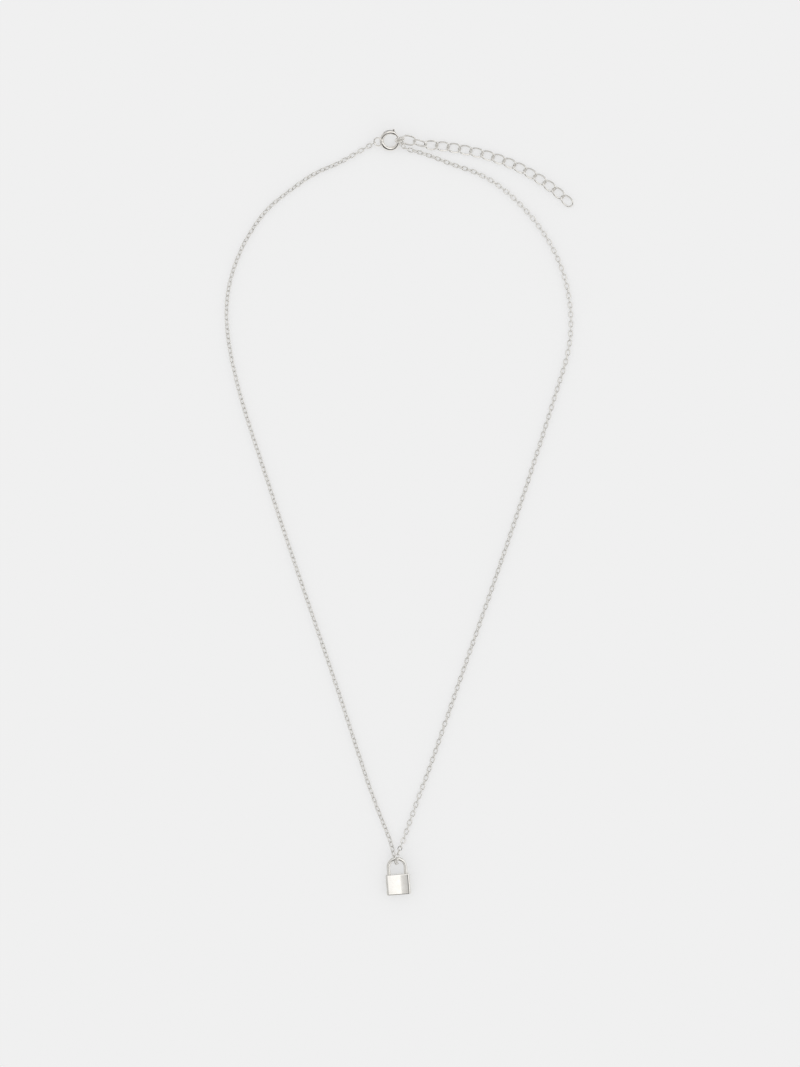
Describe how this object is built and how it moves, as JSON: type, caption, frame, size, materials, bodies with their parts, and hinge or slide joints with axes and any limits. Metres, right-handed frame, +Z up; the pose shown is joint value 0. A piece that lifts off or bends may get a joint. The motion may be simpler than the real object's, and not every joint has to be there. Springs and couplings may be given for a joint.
{
  "type": "padlock pendant necklace",
  "caption": "Fine cable chain necklace with a small plain padlock threaded on it by its shackle, a spring ring clasp and a free twisted-link extender, lying open as a loop.",
  "frame": {"origin": "on the surface that the necklace lies on, under the middle of its bounding box", "axes": "+Y from the padlock to the clasp, +Z up from the surface, +X towards the extender's side"},
  "size_m": [0.0943, 0.2066, 0.0041],
  "materials": {
    "padlock_silver": "mirror-polished sterling silver",
    "chain_silver": "polished sterling silver wire",
    "clasp_silver": "polished sterling silver",
    "extender_silver": "polished sterling silver wire"
  },
  "bodies": {
    "necklace": {"padlock_body": "padlock_silver", "padlock_shackle": "padlock_silver", "cable_chain": "chain_silver", "chain_end_link_left": "chain_silver", "chain_end_link_right": "chain_silver", "spring_ring_case": "clasp_silver", "connector_ring": "clasp_silver", "extender_link_01": "extender_silver", "extender_link_02": "extender_silver", "extender_link_03": "extender_silver", "extender_link_04": "extender_silver", "extender_link_05": "extender_silver", "extender_link_06": "extender_silver", "extender_link_07": "extender_silver", "extender_link_08": "extender_silver", "extender_link_09": "extender_silver", "extender_link_10": "extender_silver", "extender_link_11": "extender_silver", "extender_link_12": "extender_silver", "extender_link_13": "extender_silver", "extender_link_14": "extender_silver", "extender_link_15": "extender_silver", "extender_link_16": "extender_silver"},
    "clasp_bolt": {"spring_ring_bolt": "clasp_silver"}
  },
  "joints": [
    {"name": "clasp_bolt_slide", "type": "hinge", "parent": "necklace", "child": "clasp_bolt", "pos_m": [-0.0023, 0.1004, 0.0014], "axis": [0, -0.342, 0.9397], "range_deg": [0, 53], "stiffness_Nm_per_rad": 0.005, "springref_deg": -17.19}
  ]
}
